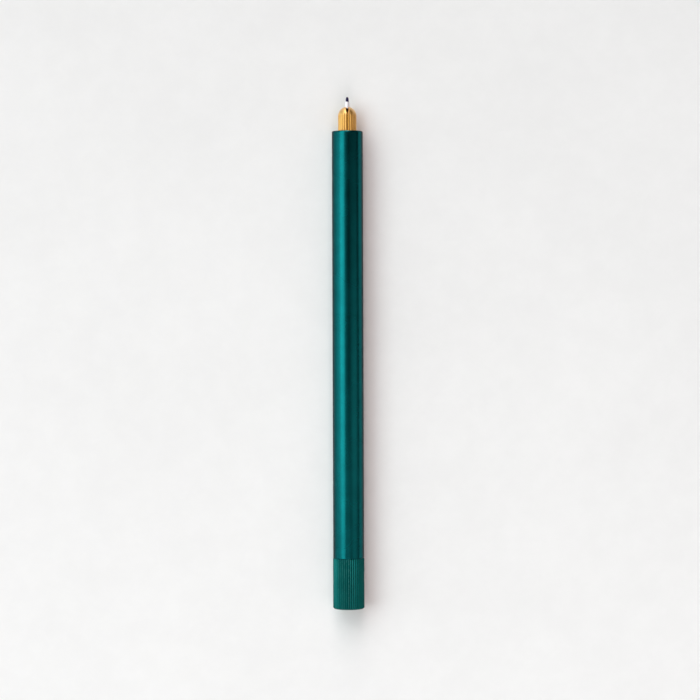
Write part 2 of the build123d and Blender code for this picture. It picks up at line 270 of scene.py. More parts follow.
cap = Vector((0.1, 0.2, 1.0)).normalized()
from_cap = add_node(
    tree, "ShaderNodeVectorMath", {0: toward, 1: cap}, operation="DOT_PRODUCT"
).outputs["Value"]
overhead = wall_light(
    tree, from_cap,
    [
        (0.0, 0.06), (0.34, 0.08), (0.5, 0.32), (0.62, 0.46), (0.72, 0.52),
        (0.875, 0.44), (0.927, 0.33), (0.964, 0.18), (0.985, 0.05), (0.996, 0.0),
    ],
)
beside = spread(tree, reckon(tree, "ABSOLUTE", along_y), 0.17, 0.35, 1.0, 0.0)
left_strip = wall_light(
    tree, times(tree, across_x, -1.0),
    [(0.7, 0.0), (0.8, 1.9), (0.87, 2.0), (0.93, 1.6), (0.97, 1.4), (1.0, 1.2)],
)
right_strip = wall_light(
    tree, across_x,
    [(0.78, 0.0), (0.86, 0.12), (0.93, 0.2), (0.965, 0.05), (1.0, 0.0)],
)
sides = times(tree, beside, reckon(tree, "ADD", left_strip, right_strip))
tip_end = spread(tree, along_y, 0.42, 0.55)
knob_end = spread(tree, along_y, -0.55, -0.42, 0.9, 0.0)
sideways = reckon(tree, "ABSOLUTE", across_x)
ahead_level = 2.75
ahead = spread(tree, sideways, 0.08, 0.22, ahead_level, 0.0)
leaning_level = 2.3
leaning = spread(tree, across_x, -0.62, -0.54, 0.0, leaning_level)
leaning = reckon(tree, "SUBTRACT", leaning, spread(tree, across_x, -0.22, -0.12, 0.0, leaning_level))
ends = times(tree, ahead, reckon(tree, "ADD", tip_end, knob_end))
ends = reckon(tree, "ADD", ends, times(tree, tip_end, leaning))
right_half = times(tree, beside, spread(tree, across_x, 0.2, 0.6))
toward_knob = spread(tree, along_y, -0.2, 0.18, 1.2, -0.7, smooth=False)
tilt = reckon(tree, "ADD", 1.0, times(tree, right_half, toward_knob))
narrowing = times(tree, reckon(tree, "SUBTRACT", 1.0, beside), spread(tree, sideways, 0.1, 0.4, 1.0, -1.0))
overhead = times(tree, overhead, reckon(tree, "ADD", 1.0, narrowing))
around = times(tree, tilt, reckon(tree, "ADD", overhead, sides))
level = reckon(tree, "ADD", around, ends)
tree.links.new(level, tree.nodes["Background"].inputs["Strength"])
room_colour = blended(tree, spread(tree, across_x, -0.3, 0.3), cool_side, warm_side)
tree.links.new(room_colour, tree.nodes["Background"].inputs["Color"])

# ---------------------------------------------------------------- Barrel
# A plain drawn aluminium tube, blasted to a satin skin and anodised teal from end to end.
# Its mouth is rounded over and counterbored for the seat's flange; its rear edge is just broken.


def reach_of(node):
    """A round piece's rear and front places along the pencil, and its radius."""
    lowest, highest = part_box(node)
    return lowest.y, highest.y, (highest.x - lowest.x) / 2


def eased(corners, steps=5):
    """An outline whose corners (place, radius, rounding) are rounded by short arcs."""
    points = []
    for number, (place, radius, rounding) in enumerate(corners):
        corner = Vector((place, radius))
        if rounding == 0:
            points.append(corner)
            continue
        back = (Vector(corners[number - 1][:2]) - corner).normalized()
        on = (Vector(corners[(number + 1) % len(corners)][:2]) - corner).normalized()
        half = back.angle(on) / 2
        centre = corner + (back + on).normalized() * (rounding / math.sin(half))
        start = corner + back * (rounding / math.tan(half)) - centre
        end = corner + on * (rounding / math.tan(half)) - centre
        turn = start.angle_signed(end)
        for step in range(steps + 1):
            angle = -turn * step / steps
            points.append(centre + Matrix.Rotation(angle, 2) @ start)
    return points


def finished_mesh(name, form, sharp):
    """A built form as a mesh, smooth except along edges that turn by more than the angle."""
    bmesh.ops.recalc_face_normals(form, faces=form.faces)
    mesh = bpy.data.meshes.new(name)
    form.to_mesh(mesh)
    form.free()
    mesh.shade_smooth()
    mesh.set_sharp_from_angle(angle=math.radians(sharp))
    return mesh


def turned(name, outline, segments=96, cut=None, sharp=38.0):
    """A mesh turned round the pencil's axis from a closed outline of (place, radius) points.
    Points on the axis close it there. cut(radius, angle) may pull a point in towards the axis."""
    form = bmesh.new()
    rings = []
    for place, radius in outline:
        if radius < 1e-9:
            rings.append([form.verts.new((0, place, middle.z))] * segments)
            continue
        ring = []
        for step in range(segments):
            angle = 2 * math.pi * step / segments
            reach = cut(radius, angle) if cut else radius
            ring.append(form.verts.new((reach * math.sin(angle), place, middle.z + reach * math.cos(angle))))
        rings.append(ring)
    for ring, following in zip(rings, rings[1:] + rings[:1]):
        if ring[0] is ring[1] and following[0] is following[1]:
            continue
        for step in range(segments):
            after = (step + 1) % segments
            corners = []
            for corner in (ring[step], ring[after], following[after], following[step]):
                if corner not in corners:
                    corners.append(corner)
            form.faces.new(corners)
    return finished_mesh(name, form, sharp)


def effect_group(name, inputs, outputs):
    """An empty shader node group with named sockets: its tree, its inputs and its way out."""
    group = bpy.data.node_groups.new(name, "ShaderNodeTree")
    for socket, kind in inputs:
        group.interface.new_socket(socket, in_out="INPUT", socket_type="NodeSocket" + kind)
    for socket, kind in outputs:
        group.interface.new_socket(socket, in_out="OUTPUT", socket_type="NodeSocket" + kind)
    taken = group.nodes.new("NodeGroupInput").outputs
    given = group.nodes.new("NodeGroupOutput").inputs
    return group, taken, given


def use_group(tree, group, **values):
    """One use of a shader node group with this material's values."""
    node = tree.nodes.new("ShaderNodeGroup")
    node.node_tree = group
    for name, value in values.items():
        socket = node.inputs[name.replace("_", " ")]
        if isinstance(value, bpy.types.NodeSocket):
            tree.links.new(value, socket)
        elif isinstance(value, tuple):
            socket.default_value = (*value[:3], 1.0)
        else:
            socket.default_value = value
    return node.outputs


def make_axis_place():
    """Where a point lies on the pencil: its radius in millimetres and its turn in full turns."""
    group, taken, given = effect_group(
        "place_on_axis",
        [("Position", "Vector")],
        [("Radius", "Float"), ("Turn", "Float"), ("Along", "Float")],
    )
    parts = add_node(group, "ShaderNodeSeparateXYZ", {0: taken["Position"]}).outputs
    up = reckon(group, "SUBTRACT", parts[2], middle.z)
    square = reckon(group, "ADD", times(group, parts[0], parts[0]), times(group, up, up))
    turn = reckon(group, "ARCTAN2", parts[0], up)
    group.links.new(reckon(group, "DIVIDE", reckon(group, "SQRT", square), MM), given["Radius"])
    group.links.new(reckon(group, "DIVIDE", turn, 2 * math.pi), given["Turn"])
    group.links.new(reckon(group, "DIVIDE", parts[1], MM), given["Along"])
    return group


def make_satin_grain():
    """The fine pitting that blasting leaves, and how unevenly it takes the dye."""
    group, taken, given = effect_group(
        "satin_grain",
        [("Position", "Vector"), ("Grain", "Float")],
        [("Height", "Float"), ("Mottle", "Float")],
    )
    fine = add_node(
        group, "ShaderNodeTexNoise",
        {"Vector": taken["Position"], "Scale": taken["Grain"], "Detail": 3.0, "Roughness": 0.65},
    ).outputs["Fac"]
    pits = add_node(
        group, "ShaderNodeTexVoronoi",
        {"Vector": taken["Position"], "Scale": times(group, taken["Grain"], 0.6)},
    ).outputs["Distance"]
    group.links.new(reckon(group, "ADD", fine, times(group, pits, 0.35)), given["Height"])
    broad = noise(group, taken["Position"], 260.0, 4.0, 0.6)
    group.links.new(
        reckon(group, "ADD", times(group, broad, 0.6), times(group, fine, 0.4)),
        given["Mottle"],
    )
    return group


def make_edges_and_hollows():
    """How far an edge is rubbed bright, partly a painted highlight, and how deep a painted shade lies in a
    hollow, from how sharply the form turns there.
    """
    group, taken, given = effect_group(
        "edges_and_hollows",
        [("Position", "Vector"), ("Start", "Float"), ("End", "Float")],
        [("Wear_and_highlight", "Float"), ("Hollow_shade", "Float")],
    )
    point = add_node(group, "ShaderNodeNewGeometry").outputs["Pointiness"]
    broken = spread(group, noise(group, taken["Position"], 2400.0, 3.0, 0.6), 0.35, 0.75)
    edge = add_node(
        group, "ShaderNodeMapRange",
        {"Value": point, "From Min": taken["Start"], "From Max": taken["End"]},
        interpolation_type="SMOOTHSTEP",
    ).outputs[0]
    # Rubbed edges, partly a painted highlight on crests and edges.
    group.links.new(times(group, edge, broken), given["Wear_and_highlight"])
    # Painted shade: hollows, where the form turns inward, are darkened.
    group.links.new(spread(group, point, 0.49, 0.42), given["Hollow_shade"])
    return group


axis_place = make_axis_place()
satin_grain = make_satin_grain()
edges_and_hollows = make_edges_and_hollows()


def anodised(name, deep, light, grain=9000.0, roughness=0.26, wear_start=0.53, wear_end=0.62):
    """Aluminium anodised and dyed: a clear hard skin over metal, deeper in tone where it is thick."""
    material, tree, shader, where = bare_material(name)
    skin = use_group(tree, satin_grain, Position=where, Grain=grain)
    edge = use_group(tree, edges_and_hollows, Position=where, Start=wear_start, End=wear_end)
    tone = blended(tree, spread(tree, skin["Mottle"], 0.35, 0.65), deep, light)
    # Edges rubbed to a lighter teal, partly a painted highlight on the knob's crests.
    worn_and_highlighted = blended(tree, times(tree, edge["Wear_and_highlight"], 0.35), tone, (0.18, 0.42, 0.42))
    # Painted shade: hollows such as the knob's grooves are darkened to a deep teal.
    hollow_shaded = blended(tree, times(tree, edge["Hollow_shade"], 0.5), worn_and_highlighted, (0.0015, 0.05, 0.052))
    shader.inputs["Metallic"].default_value = 1.0
    shader.inputs["Specular Tint"].default_value = (0.0, 0.16, 0.18, 1.0)
    shader.inputs["Coat Weight"].default_value = 0.75
    shader.inputs["Coat IOR"].default_value = 1.12
    shader.inputs["Coat Roughness"].default_value = 0.25
    hand = spread(tree, noise(tree, where, 90.0, 3.0), 0.35, 0.7, roughness - 0.015, roughness + 0.03)
    finish_surface(tree, shader, hollow_shaded, hand, skin["Height"], 0.0016 * MM)
    return material


barrel_rear, barrel_mouth, barrel_radius = reach_of("barrel")
bush_radius = reach_of("rear_bush")[2]
seat_rear, seat_front, flange_radius = reach_of("collet_seat")
seat_gap = 0.02 * MM
end_gap = 0.05 * MM
barrel_bore = bush_radius + seat_gap
flange_recess = 0.8 * MM
mouth_rounding = 0.35 * MM
rear_rounding = 0.12 * MM
bore_rounding = 0.1 * MM
recess_rounding = 0.04 * MM
teal_barrel = anodised("teal_anodised_barrel", (0.0006, 0.100, 0.106), (0.0010, 0.120, 0.126))
barrel_outline = eased([
    (barrel_rear, barrel_bore, bore_rounding),
    (barrel_rear, barrel_radius, rear_rounding),
    (barrel_mouth, barrel_radius, mouth_rounding),
    (barrel_mouth, flange_radius + seat_gap, recess_rounding),
    (barrel_mouth - flange_recess, flange_radius + seat_gap, 0),
    (barrel_mouth - flange_recess, barrel_bore, 0),
])
barrel_mesh = turned("barrel_tube", barrel_outline, segments=160)
barrel = make_object("barrel_tube", barrel_mesh, teal_barrel)
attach(barrel, "barrel")
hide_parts("barrel")

# ---------------------------------------------------------------- Collet seat
# A flanged brass bush pressed in at the mouth; its cone closes the jaws when they are drawn back.
# It is turned from bar, so its face carries fine rings from the tool.


def make_tool_rings():
    """Rings left by a turning tool, across a face or along a round."""
    group, taken, given = effect_group(
        "tool_rings", [("Position", "Vector"), ("Rings", "Float")], [("Height", "Float"), ("Sheen", "Float")]
    )
    place = use_group(group, axis_place, Position=taken["Position"])
    run = reckon(group, "ADD", place["Radius"], place["Along"])
    drift = add_node(group, "ShaderNodeCombineXYZ", {0: run, 1: 0.0, 2: 0.0}).outputs[0]
    uneven = noise(group, drift, 3.0, 2.0)
    wandering = reckon(group, "ADD", run, times(group, uneven, 0.15))
    phase = times(group, wandering, taken["Rings"])
    wave = reckon(group, "ABSOLUTE", reckon(group, "SINE", phase))
    depth = spread(group, uneven, 0.3, 0.7, 0.5, 1.0)
    group.links.new(times(group, wave, depth), given["Height"])
    group.links.new(noise(group, drift, 14.0, 3.0), given["Sheen"])
    return group


tool_rings = make_tool_rings()


def turned_brass(name, bright, dull, rings=60.0, roughness=0.24, ring_depth=0.0015):
    """Free-cutting brass as it leaves the lathe: warm and bright, with a painted shade of brown in its
    corners and rubbed edges, partly a painted highlight.
    """
    material, tree, shader, where = bare_material(name)
    marks = use_group(tree, tool_rings, Position=where, Rings=rings)
    edge = use_group(tree, edges_and_hollows, Position=where, Start=0.54, End=0.66)
    cast = noise(tree, where, 420.0, 3.0, 0.6)
    tone = blended(tree, spread(tree, cast, 0.35, 0.7), bright, dull)
    # Painted shade: corners and hollows are darkened to a deep brown.
    painted_hollow_tone = blended(tree, times(tree, edge["Hollow_shade"], 0.7), tone, (0.16, 0.07, 0.015))
    # Edges rubbed to bright brass, partly a painted highlight.
    worn_and_highlighted = blended(tree, times(tree, edge["Wear_and_highlight"], 0.3), painted_hollow_tone, (0.95, 0.78, 0.42))
    shader.inputs["Metallic"].default_value = 1.0
    sheen = spread(tree, marks["Sheen"], 0.3, 0.7, roughness - 0.04, roughness + 0.05)
    finish_surface(tree, shader, worn_and_highlighted, sheen, marks["Height"], ring_depth * MM)
    return material


seat_bore = 2.2 * MM
cone_rise = 0.5 * MM
seat_mouth = seat_bore + cone_rise
cone_angle = math.radians(12.0)
cone_gap = 0.03 * MM
cone_length = cone_rise / math.tan(cone_angle)
flange_rounding = 0.06 * MM
seat_rear_rounding = 0.15 * MM
seat_brass = turned_brass("seat_brass", (0.74, 0.46, 0.16), (0.62, 0.36, 0.12))
seat_outline = eased([
    (seat_front, seat_mouth, flange_rounding),
    (seat_front, flange_radius, flange_rounding),
    (seat_front - flange_recess, flange_radius, 0),
    (seat_front - flange_recess, bush_radius, 0),
    (seat_rear, bush_radius, seat_rear_rounding),
    (seat_rear, seat_bore, bore_rounding),
    (seat_front - cone_length, seat_bore, 0),
])
seat = make_object("seat_bush", turned("seat_bush", seat_outline, segments=128), seat_brass)
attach(seat, "barrel")
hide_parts("collet_seat")

# ---------------------------------------------------------------- Jaws
# Three brass jaws, slit from one turned and fluted head, spring on thin fingers inside the barrel.
# The dome at the tip is polished; the slits open out where they run through it.
jaw_count = 3
flutes_per_jaw = 7
columns_per_flute = 14
jaw_root, jaw_tip, _ = reach_of("jaw_1")
head_radius = seat_mouth - cone_gap
sleeve_hole = 0.83 * MM
ridge_radius = 0.45 * MM
slit_half = 0.15 * MM
slit_mouth_half = 0.375 * MM
slit_mouth_depth = 1.1 * MM
slit_mouth_length = 1.75 * MM
finger_outer = 1.75 * MM
finger_inner = 1.15 * MM
grip_radius = 0.47 * MM
collar_room = 1.65 * MM
jaw_lip = 1.8 * MM
groove_width = 1.1 * MM
rear_lip = 0.8 * MM
grip_length = 5.0 * MM
groove_front = jaw_tip - jaw_lip
groove_rear = groove_front - groove_width
grip_front = groove_rear - rear_lip
grip_rear = grip_front - grip_length
cone_rear = barrel_mouth - cone_length
neck_radius = seat_bore - cone_gap
dome_centre = jaw_tip - math.sqrt(head_radius**2 - sleeve_hole**2)
straight_steps = 7
dome_steps = 16
flutes_start = 0.03 * MM
settling_rounds = 3
edge_reach = math.radians(50)


def make_slit_shade_mask():
    """Where the jaws' slits and the sleeve's hole are, 1 there and 0 elsewhere, and a painted shade in them
    near the tip.
    """
    group, taken, given = effect_group(
        "slit_shade_mask", [("Position", "Vector")], [("Slit", "Float"), ("Shade_in_slit", "Float")]
    )
    place = use_group(group, axis_place, Position=taken["Position"])
    counted = reckon(group, "ADD", times(group, place["Turn"], jaw_count), 0.5)
    off_slit = reckon(group, "ABSOLUTE", reckon(group, "SUBTRACT", reckon(group, "FRACT", counted), 0.5))
    sine = reckon(group, "SINE", times(group, off_slit, 2 * math.pi / jaw_count))
    off_plane = times(group, place["Radius"], sine)
    width = spread(
        group, place["Along"], (jaw_tip - slit_mouth_length) / MM, (jaw_tip - slit_mouth_depth) / MM,
        slit_half / MM, slit_mouth_half / MM, smooth=False,
    )
    beyond = reckon(group, "SUBTRACT", off_plane, width)
    in_slit = spread(group, beyond, 0.02, 0.09, 1.0, 0.0)
    in_hole = spread(group, place["Radius"], sleeve_hole / MM + 0.04, sleeve_hole / MM + 0.16, 1.0, 0.0)
    from_tip = reckon(group, "SUBTRACT", jaw_tip / MM, place["Along"])
    # Painted shade along the slits from just behind the tip to about two millimetres back.
    shaded_stretch = reckon(
        group, "SUBTRACT", spread(group, from_tip, 0.1, 0.6), spread(group, from_tip, 1.65, 2.0)
    )
    hidden = reckon(group, "MAXIMUM", in_slit, in_hole)
    group.links.new(hidden, given["Slit"])
    group.links.new(times(group, shaded_stretch, hidden), given["Shade_in_slit"])
    return group


slit_shade_mask = make_slit_shade_mask()


def jaw_finish(name):
    """The jaws' brass, satin from tumbling, with a painted shade and a painted warm reflection in the slits.
    """
    material = turned_brass(name, (0.77, 0.44, 0.09), (0.70, 0.375, 0.07), rings=75.0, roughness=0.5)
    tree = material.node_tree
    shader = tree.nodes["Principled BSDF"]
    where = add_node(tree, "ShaderNodeTexCoord").outputs["Object"]
    shader.inputs["Coat Roughness"].default_value = 0.3
    shader.inputs["Coat IOR"].default_value = 1.8
    slit_shading = use_group(tree, slit_shade_mask, Position=where)
    painted_slit_shade = slit_shading["Shade_in_slit"]
    along = use_group(tree, axis_place, Position=where)["Along"]
    domed = spread(tree, along, dome_centre / MM - 0.1, dome_centre / MM + 0.5)
    handled = spread(tree, domed, 0.0, 1.0, 0.45, 1.0)
    clear_of_slit = spread(tree, slit_shading["Slit"], 0.0, 1.0, 1.0, 0.0)
    tree.links.new(times(tree, handled, clear_of_slit), shader.inputs["Coat Weight"])
    bare_colour = shader.inputs["Base Color"].links[0].from_socket
    sheen = shader.inputs["Roughness"].links[0].from_socket
    sheen = reckon(tree, "SUBTRACT", sheen, times(tree, domed, 0.1))
    # Painted reflection: the slit and hole walls are coloured a strong orange, as brass lit by brass.
    painted_hollow_tone = blended(tree, slit_shading["Slit"], bare_colour, (1.0, 0.42, 0.03))
    # Painted shade: the slits near the tip go dark brown.
    tree.links.new(blended(tree, painted_slit_shade, painted_hollow_tone, (0.22, 0.07, 0.004)), shader.inputs["Base Color"])
    tree.links.new(reckon(tree, "MAXIMUM", sheen, times(tree, painted_slit_shade, 0.7)), shader.inputs["Roughness"])
    return material


jaw_brass = jaw_finish("jaw_brass")


def jaw_outline():
    """Once round a jaw's section: (place, radius, fluted), out along the outside and back within."""
    outside = [
        (jaw_root, finger_outer, False),
        (cone_rear - (neck_radius - finger_outer), finger_outer, False),
        (cone_rear, neck_radius, False),
        (barrel_mouth, head_radius, False),
        (barrel_mouth + flutes_start, head_radius, True),
    ]
    for step in range(1, straight_steps):
        share = step / straight_steps
        outside.append((barrel_mouth + (dome_centre - barrel_mouth) * share, head_radius, True))
    rim = math.asin(sleeve_hole / head_radius)
    for step in range(dome_steps + 1):
        angle = math.pi / 2 - (math.pi / 2 - rim) * step / dome_steps
        outside.append((dome_centre + head_radius * math.cos(angle), head_radius * math.sin(angle), True))
    inside = [
        (groove_front, sleeve_hole, False),
        (groove_front, collar_room, False),
        (groove_rear, collar_room, False),
        (groove_rear, sleeve_hole, False),
        (grip_front, sleeve_hole, False),
        (grip_front, grip_radius, False),
        (grip_rear, grip_radius, False),
        (grip_rear - (finger_inner - grip_radius), finger_inner, False),
        (jaw_root, finger_inner, False),
    ]
    return outside + inside


def fluted(radius, angle):
    """Radius of the fluted head at an angle, where it isn't already within the dome."""
    pitch = 2 * math.pi / (jaw_count * flutes_per_jaw)
    off = (angle / pitch % 1.0 - 0.5) * pitch
    hub = head_radius - ridge_radius
    ridge = hub * math.cos(off) + math.sqrt(ridge_radius**2 - (hub * math.sin(off)) ** 2)
    return min(radius, ridge)


def jaw_mesh(name, number):
    """One jaw: its section swept from slit to slit, the slits parallel-sided and flared at the tip."""
    sector = 2 * math.pi / jaw_count
    first = (number - 1) * sector
    columns = flutes_per_jaw * columns_per_flute
    outline = jaw_outline()
    form = bmesh.new()
    strips = []
    for column in range(columns + 1):
        share = column / columns
        strip = []
        for place, radius, is_fluted in outline:
            flare = (place - jaw_tip + slit_mouth_length) / (slit_mouth_length - slit_mouth_depth)
            half_width = slit_half + (slit_mouth_half - slit_half) * min(1.0, max(0.0, flare))
            reach = radius
            for _ in range(settling_rounds):
                edge = math.asin(min(1.0, half_width / reach))
                fade = max(2.0, edge_reach / edge)
                from_side = min(share, 1 - share)
                shift = edge * (1 - 2 * from_side) ** fade
                angle = share * sector + (shift if share < 0.5 else -shift)
                reach = fluted(radius, first + angle) if is_fluted else radius
            turn = first + angle
            strip.append(form.verts.new((reach * math.sin(turn), place, middle.z + reach * math.cos(turn))))
        strips.append(strip)
    for strip, following in zip(strips, strips[1:]):
        for step in range(len(outline)):
            after = (step + 1) % len(outline)
            form.faces.new((strip[step], following[step], following[after], strip[after]))
    for strip in (strips[0], strips[-1]):
        side_face = [
            Vector((corner.co.y, math.hypot(corner.co.x, corner.co.z - middle.z), 0)) / MM
            for corner in strip
        ]
        for corners in tessellate_polygon([side_face]):
            form.faces.new([strip[corner] for corner in corners])
    return finished_mesh(name, form, sharp=32.0)


for number in range(1, jaw_count + 1):
    jaw = make_object(f"collet_jaw_{number}", jaw_mesh(f"collet_jaw_{number}", number), jaw_brass)
    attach(jaw, f"jaw_{number}")
    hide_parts(f"jaw_{number}")

# ---------------------------------------------------------------- Lead sleeve
# A small turned steel nozzle in the middle of the jaws, which keeps the lead from snapping.
# Its collar turns freely in the jaws' groove; the part that shows is polished.


def bright_steel(name, tone, roughness, rings=90.0, ring_depth=0.001):
    """Turned or drawn steel: cold grey, with fine rings and a trace of haze."""
    material, tree, shader, where = bare_material(name)
    marks = use_group(tree, tool_rings, Position=where, Rings=rings)
    haze = noise(tree, where, 700.0, 4.0, 0.65)
    tone_low = tuple(part * 0.86 for part in tone)
    colour = blended(tree, spread(tree, haze, 0.35, 0.7), tone, tone_low)
    shader.inputs["Metallic"].default_value = 1.0
    sheen = spread(tree, marks["Sheen"], 0.3, 0.7, roughness - 0.03, roughness + 0.05)
    finish_surface(tree, shader, colour, sheen, marks["Height"], ring_depth * MM)
    return material


def sleeve_finish(name):
    """The nozzle's polished steel, with a painted shade where it goes into the jaws."""
    material = bright_steel(name, (0.93, 0.93, 0.95), 0.6)
    tree = material.node_tree
    shader = tree.nodes["Principled BSDF"]
    where = add_node(tree, "ShaderNodeTexCoord").outputs["Object"]
    along = use_group(tree, axis_place, Position=where)["Along"]
    bare_colour = shader.inputs["Base Color"].links[0].from_socket
    # Painted shade: the sleeve goes near black where it runs into the jaws.
    inside = spread(tree, along, jaw_tip / MM - 0.6, jaw_tip / MM - 0.15, 1.0, 0.0)
    tree.links.new(blended(tree, inside, bare_colour, (0.03, 0.022, 0.016)), shader.inputs["Base Color"])
    return material


sleeve_steel = sleeve_finish("sleeve_steel")
sleeve_rear, sleeve_tip, sleeve_collar = reach_of("lead_sleeve")
sleeve_bore = 0.475 * MM
sleeve_tip_radius = 0.6 * MM
sleeve_root_radius = 0.78 * MM
collar_play = 0.1 * MM
collar_length = 0.9 * MM
collar_front = groove_front - collar_play
collar_rounding = 0.06 * MM
sleeve_rounding = 0.05 * MM
nozzle_bore_rounding = 0.03 * MM
sleeve_outline = eased([
    (sleeve_tip, sleeve_bore, nozzle_bore_rounding),
    (sleeve_tip, sleeve_tip_radius, sleeve_rounding),
    (jaw_tip, sleeve_root_radius, 0),
    (collar_front, sleeve_root_radius, 0),
    (collar_front, sleeve_collar, collar_rounding),
    (collar_front - collar_length, sleeve_collar, collar_rounding),
    (collar_front - collar_length, sleeve_root_radius, 0),
    (sleeve_rear, sleeve_root_radius, sleeve_rounding),
    (sleeve_rear, sleeve_bore, sleeve_rounding),
])
sleeve = make_object("nozzle_sleeve", turned("nozzle_sleeve", sleeve_outline, segments=72), sleeve_steel)
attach(sleeve, "drawbar")
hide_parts("lead_sleeve")

# ---------------------------------------------------------------- Lead
# A 0.9 mm lead, dark with a violet cast, worn to a blunt point by drawing.
# It slides through the sleeve and the jaws when they are open.


def graphite(name):
    """Fired graphite and clay: near black, faintly violet, with a burnished sheen and fine streaks."""
    material, tree, shader, where = bare_material(name)
    streaks = noise(tree, where, 5200.0, 3.0, 0.6, stretch=(1.0, 0.12, 1.0))
    dust = noise(tree, where, 9000.0, 3.0, 0.7)
    tone = blended(tree, spread(tree, streaks, 0.35, 0.7), (0.003, 0.001, 0.028), (0.007, 0.002, 0.05))
    burnished = spread(tree, dust, 0.3, 0.7, 0.26, 0.4)
    shader.inputs["Specular IOR Level"].default_value = 0.45
    shader.inputs["Specular Tint"].default_value = (0.8, 0.72, 1.0, 1.0)
    finish_surface(tree, shader, tone, burnished, streaks, 0.004 * MM)
    return material


lead_graphite = graphite("lead_graphite")
lead_rear, lead_tip, lead_radius = reach_of("lead")
point_length = lead_tip - sleeve_tip
tip_radius = 0.33 * MM
shoulder_share = 0.36
shoulder = sleeve_tip + point_length * shoulder_share
tip_turn = math.radians(60)
nose_steps = 8
ogive_steps = 14


def lead_outline():
    """The lead's side: square at the rear, an ogive from the shoulder, and a small round nose."""
    nose_centre = Vector((lead_tip - tip_radius, 0))
    nose_start = nose_centre + Vector((math.cos(tip_turn), math.sin(tip_turn))) * tip_radius
    points = [Vector((lead_rear, 0)), Vector((lead_rear, lead_radius))]
    run = nose_start.x - shoulder
    drop = lead_radius - nose_start.y
    swing = (run**2 + drop**2) / (2 * drop)
    for step in range(ogive_steps):
        place = run * step / ogive_steps
        points.append(Vector((shoulder + place, lead_radius - swing + math.sqrt(swing**2 - place**2))))
    for step in range(nose_steps):
        angle = tip_turn * (1 - step / nose_steps)
        points.append(nose_centre + Vector((math.cos(angle), math.sin(angle))) * tip_radius)
    points.append(Vector((lead_tip, 0)))
    return points


lead = make_object("writing_lead", turned("writing_lead", lead_outline(), segments=48), lead_graphite)
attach(lead, "lead")
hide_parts("lead")

# ---------------------------------------------------------------- Knob
# The rear section: the same aluminium and dye as the barrel, cut with straight V ridges for grip.
# Its spigot runs in the rear bush; it is bored for the draw tube, the nut and the end plug.
knob_rear, spigot_front, knob_radius = reach_of("knob")
knob_front = barrel_rear - end_gap
ridge_count = 44
ridge_depth = 0.22 * MM
steps_per_ridge = 10
spigot_radius = 2.8 * MM
spigot_bore = 2.2 * MM
_, nut_front, nut_radius = reach_of("knob_nut")
nut_bore = nut_radius + seat_gap
plug_rear, plug_front, plug_radius = reach_of("end_plug")
plug_play = 0.05 * MM
plug_bore = plug_radius + plug_play
gasket_front = reach_of("plug_gasket")[1]
drag_rear, drag_front, _ = reach_of("friction_o_ring")
clip_rear, clip_front, _ = reach_of("retaining_ring")
drag_middle = (drag_rear + drag_front) / 2
drag_groove_half = 0.25 * MM
drag_groove_depth = 0.4 * MM
clip_groove_depth = 0.3 * MM
knob_chamfer = 0.3 * MM
knob_front_chamfer = 0.1 * MM
crest_start = 0.06
crest_run = 0.74
knob_rounding = 0.05 * MM
plug_mouth_rounding = 0.08 * MM
spigot_rounding = 0.1 * MM


def ridged(radius, angle):
    """Radius of the knob's skin at an angle: V ridges whose crests are just broken."""
    share = angle / (2 * math.pi) * ridge_count % 1.0
    slope = abs(share - 0.5) * 2
    floor = knob_radius - ridge_depth
    crest = floor + ridge_depth * min(1.0, max(0.0, (slope - crest_start) / crest_run))
    return min(radius, crest) if radius > floor else radius


knob_outline = eased([
    (knob_rear, plug_bore, plug_mouth_rounding),
    (knob_rear, knob_radius - knob_chamfer, knob_rounding),
    (knob_rear + knob_chamfer / 3, knob_radius - knob_chamfer * 2 / 3, 0),
    (knob_rear + knob_chamfer * 2 / 3, knob_radius - knob_chamfer / 3, 0),
    (knob_rear + knob_chamfer, knob_radius, 0),
    (knob_front - knob_front_chamfer, knob_radius, 0),
    (knob_front, knob_radius - knob_front_chamfer, 0),
    (knob_front, spigot_radius, 0),
    (drag_middle - drag_groove_half, spigot_radius, 0),
    (drag_middle - drag_groove_half, spigot_radius - drag_groove_depth, 0),
    (drag_middle + drag_groove_half, spigot_radius - drag_groove_depth, 0),
    (drag_middle + drag_groove_half, spigot_radius, 0),
    (clip_rear - end_gap, spigot_radius, 0),
    (clip_rear - end_gap, spigot_radius - clip_groove_depth, 0),
    (clip_front + end_gap, spigot_radius - clip_groove_depth, 0),
    (clip_front + end_gap, spigot_radius, 0),
    (spigot_front, spigot_radius, spigot_rounding),
    (spigot_front, spigot_bore, knob_rounding),
    (nut_front, spigot_bore, 0),
    (nut_front, nut_bore, 0),
    (gasket_front, nut_bore, 0),
    (gasket_front, plug_bore, 0),
])
teal_knob = anodised("teal_anodised_knob", (0.0012, 0.120, 0.110), (0.0018, 0.143, 0.131), roughness=0.52)
knob_segments = ridge_count * steps_per_ridge
knob_mesh = turned("knurled_knob", knob_outline, knob_segments, cut=ridged, sharp=30.0)
knob = make_object("knurled_knob", knob_mesh, teal_knob)
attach(knob, "knob")
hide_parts("knob")

# ---------------------------------------------------------------- End plug
# A screwed aluminium plug, flush with the knob's end, that closes the store of spare leads.
# It has a slot for a coin, with its edges broken.
plug_slot_width = 1.0 * MM
plug_slot_depth = 1.0 * MM
slot_overrun = 0.5 * MM
slot_edge = 0.05 * MM
plug_rear_rounding = 0.12 * MM
plug_front_rounding = 0.1 * MM
teal_plug = anodised("teal_anodised_plug", (0.0030, 0.100, 0.100), (0.0040, 0.122, 0.120), roughness=0.28)
plug_outline = eased([
    (plug_rear, 0, 0),
    (plug_rear, plug_radius, plug_rear_rounding),
    (plug_front, plug_radius, plug_front_rounding),
    (plug_front, 0, 0),
])
plug = make_object("slotted_plug", turned("slotted_plug", plug_outline, segments=96), teal_plug)


